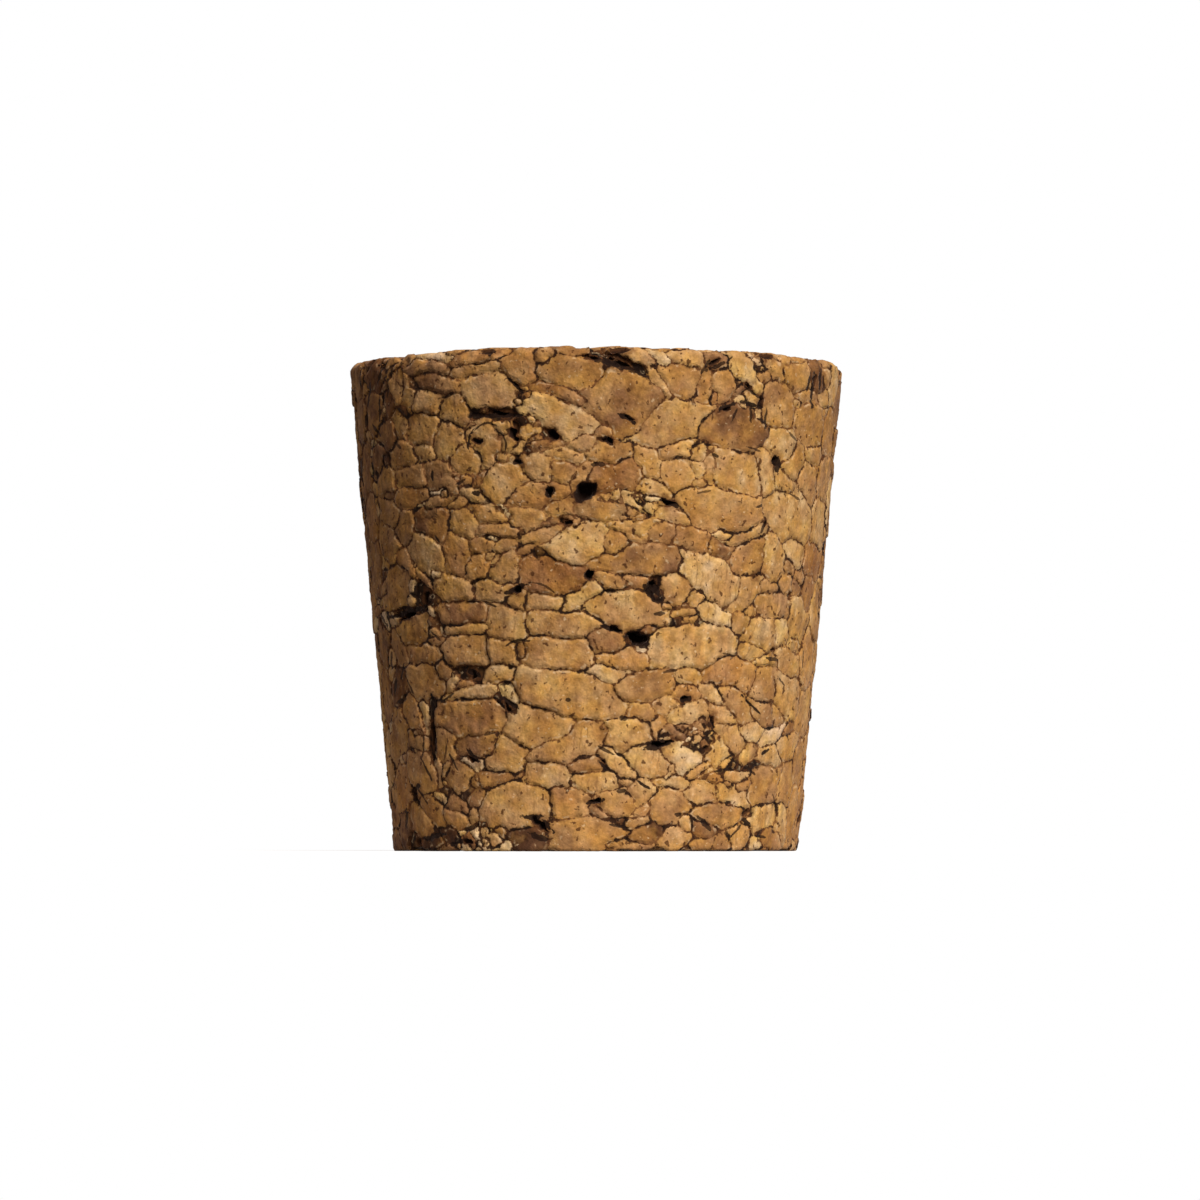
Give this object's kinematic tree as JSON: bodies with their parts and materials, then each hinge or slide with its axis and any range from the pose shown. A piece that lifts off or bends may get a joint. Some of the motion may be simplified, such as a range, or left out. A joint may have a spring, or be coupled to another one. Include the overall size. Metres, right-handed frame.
{
  "type": "cork stopper",
  "caption": "Tapered plug of agglomerated cork that closes a round neck by being pushed in by its small end.",
  "frame": {"origin": "centre of the small end's face, on which the stopper stands", "axes": "+Z along the axis from the small end to the large end; -Y is the side seen from the front"},
  "size_m": [0.0278, 0.0278, 0.0274],
  "materials": {
    "cork": "sawn and sanded, matt, with dark seams and open voids between the granules"
  },
  "bodies": {
    "root": {"stopper": "cork"}
  },
  "joints": []
}
